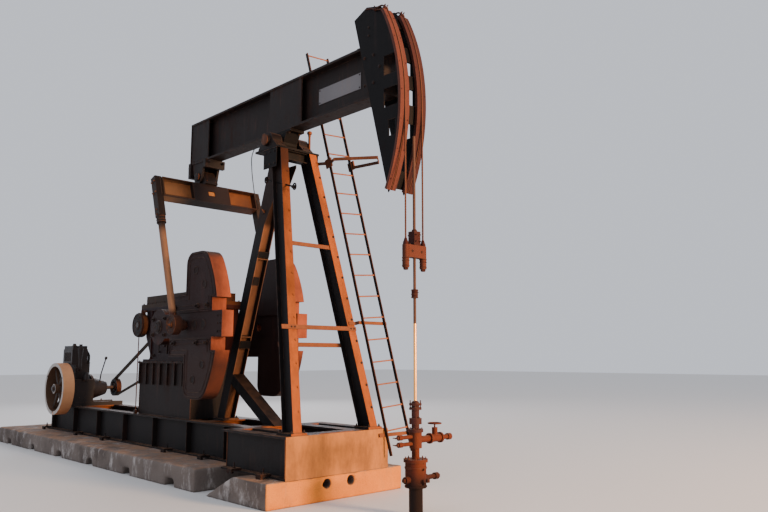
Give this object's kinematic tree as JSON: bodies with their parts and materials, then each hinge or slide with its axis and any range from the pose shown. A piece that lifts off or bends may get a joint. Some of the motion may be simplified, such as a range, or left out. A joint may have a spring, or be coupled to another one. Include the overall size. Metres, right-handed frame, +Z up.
{
  "type": "pumpjack",
  "caption": "Beam pumping unit with horsehead, ladder, counterweighted cranks, gear reducer, belt-driven engine and wellhead on concrete footings.",
  "frame": {"origin": "under the centre bearing, in the centre plane, on the underside of the concrete", "axes": "+X level towards the well, +Y across to the ladder side, +Z up"},
  "size_m": [12.27, 2.5417, 6.8912],
  "materials": {
    "concrete": "rough weathered concrete with white bloom",
    "dark_steel": "faded black paint over brown rust",
    "rusty_steel": "worn paint with orange rust",
    "dark_iron": "oily black painted casting",
    "bare_steel": "bright and bare where it slides",
    "belt_rubber": "matt black",
    "pale_iron": "pale worn rim",
    "red_iron": "red-orange paint and rust",
    "pale_plate": "blank faded plate",
    "rope": "rusty wire rope"
  },
  "bodies": {
    "base": {"front_footing": "concrete", "rear_footings": "concrete", "skid_side_near": "dark_steel", "skid_side_far": "dark_steel", "skid_rails": "dark_steel", "skid_cross_beams": "dark_steel", "front_leg_near": "dark_steel", "front_leg_far": "dark_steel", "rear_leg": "dark_steel", "knee_brace": "dark_steel", "post_top": "dark_steel", "center_bearings": "dark_steel", "brake_band": "dark_steel", "engine_sills": "dark_steel", "air_cleaner": "dark_steel", "skid_front_plate": "rusty_steel", "leg_bars": "rusty_steel", "ladder": "rusty_steel", "ladder_brackets": "rusty_steel", "reducer_pedestal": "dark_iron", "reducer_case": "dark_iron", "reducer_cover": "dark_iron", "brake_drum": "dark_iron", "reducer_sheave": "dark_iron", "engine_block": "dark_iron", "engine_radiator": "dark_iron", "clutch_housing": "dark_iron", "engine_sheave": "dark_iron", "input_shaft": "bare_steel", "engine_shaft": "bare_steel", "v_belts": "belt_rubber", "engine_flywheel": "pale_iron", "casing_head": "red_iron", "pumping_tee": "red_iron", "tee_valve": "red_iron", "stuffing_box": "red_iron"},
    "walking_beam": {"walking_beam": "dark_steel", "center_saddle": "dark_steel", "tail_hanger": "dark_steel", "head_plates": "dark_steel", "head_ties": "dark_steel", "sign_plate": "pale_plate", "head_tracks": "rusty_steel", "head_ropes": "rope"},
    "equalizer": {"equalizer_beam": "dark_steel", "equalizer_bearing": "dark_steel", "pitman_near": "rusty_steel", "pitman_far": "rusty_steel"},
    "cranks": {"crankshaft": "bare_steel", "crank_near": "dark_iron", "crank_far": "dark_iron", "weights_near": "dark_iron", "weights_far": "dark_iron"},
    "polished_rod": {"polished_rod": "bare_steel", "carrier_bar": "rusty_steel", "rod_clamp": "rusty_steel", "bridle_ropes": "rope"}
  },
  "joints": [
    {"name": "beam_rock", "type": "hinge", "parent": "base", "child": "walking_beam", "pos_m": [0, 0, 5.245], "axis": [0, 1, 0], "range_deg": [-18.6, 25.5]},
    {"name": "equalizer_swing", "type": "hinge", "parent": "walking_beam", "child": "equalizer", "pos_m": [-2.45, 0, 5.14], "axis": [0, 1, 0], "range_deg": [-26, 19]},
    {"name": "crank_turn", "type": "hinge", "parent": "base", "child": "cranks", "pos_m": [-2.45, 0, 2.415], "axis": [0, 1, 0], "continuous": true},
    {"name": "rod_slide", "type": "slide", "parent": "base", "child": "polished_rod", "axis": [0, 0, 1], "range_m": [-1.26, 0.92], "deforming": ["bridle_ropes"]}
  ],
  "couplings": [
    {"joint": "equalizer_swing", "follows": "beam_rock", "ratio": -1},
    {"joint": "crank_turn", "follows": "beam_rock", "ratio": -1.8},
    {"joint": "rod_slide", "follows": "beam_rock", "m_per_rad": -2.82}
  ]
}
